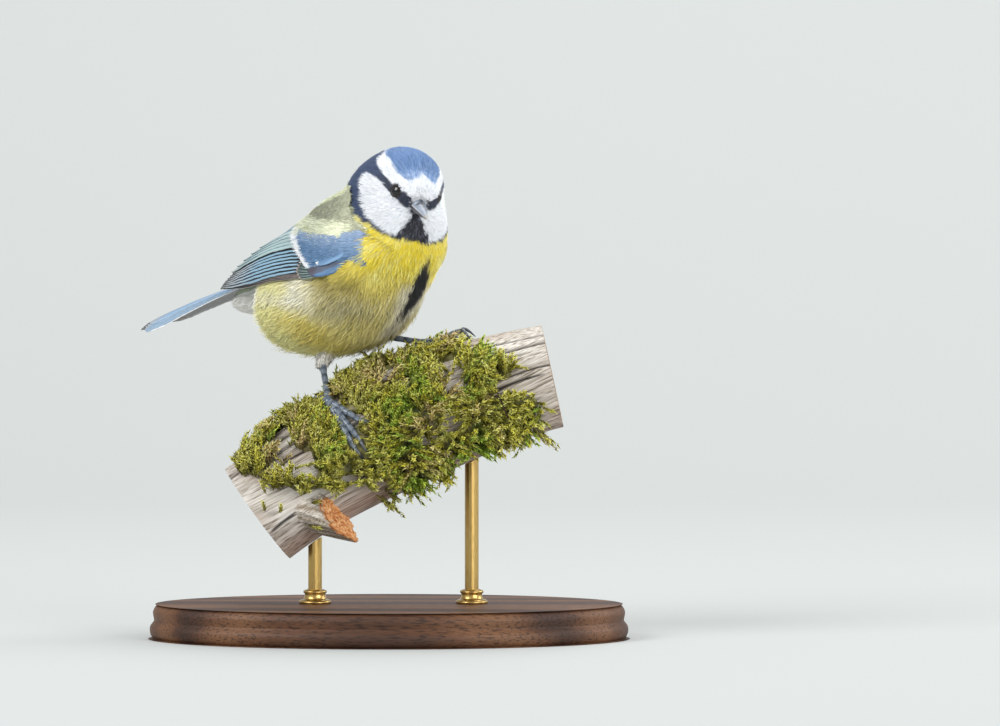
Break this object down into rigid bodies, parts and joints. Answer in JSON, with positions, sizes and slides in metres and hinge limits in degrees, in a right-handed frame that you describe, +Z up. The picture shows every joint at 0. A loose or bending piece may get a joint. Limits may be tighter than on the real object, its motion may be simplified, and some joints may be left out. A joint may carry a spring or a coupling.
{
  "type": "blue tit",
  "caption": "Life-size blue tit, head turned to one side, gripping a short mossy branch held on a round display stand by short rods.",
  "frame": {"origin": "centre of the underside of the display base", "axes": "+Z up; +X along the branch towards its higher end; the bird faces between +X and -Y"},
  "size_m": [0.1136, 0.0836, 0.1132],
  "materials": {
    "head_feathers": "soft feather: blue cap, white face, dark stripe",
    "collar_feathers": "soft feather, blue-black",
    "body_feathers": "soft feather: yellow below, moss green above",
    "wing_feathers": "smooth feather vane, blue with a white bar",
    "tail_feathers": "smooth feather vane, slate blue",
    "leg_feathers": "short soft feather",
    "bill": "horn, satin, pale along its edges",
    "eye": "wet gloss",
    "scutes": "horny scutes, satin blue-grey",
    "claw": "horn, satin",
    "branch_wood": "weathered, barkless, cracked along the grain",
    "moss": "living moss, leafy and rough",
    "plinth": "dark stained hardwood, satin",
    "rod": "brushed brass"
  },
  "bodies": {
    "root": {"head": "head_feathers", "neck": "collar_feathers", "torso": "body_feathers", "bill_upper": "bill", "bill_lower": "bill", "eye_left": "eye", "eye_right": "eye", "wing_left": "wing_feathers", "wing_right": "wing_feathers", "tail": "tail_feathers", "thigh_left": "leg_feathers", "thigh_right": "leg_feathers", "tarsus_left": "scutes", "tarsus_right": "scutes", "foot_left": "scutes", "foot_right": "scutes", "claw_left_hind": "claw", "claw_left_inner": "claw", "claw_left_middle": "claw", "claw_left_outer": "claw", "claw_right_hind": "claw", "claw_right_inner": "claw", "claw_right_middle": "claw", "claw_right_outer": "claw", "perch_wood": "branch_wood", "perch_moss": "moss", "stand_base": "plinth", "stand_rod_1": "rod", "stand_rod_2": "rod"}
  },
  "joints": []
}
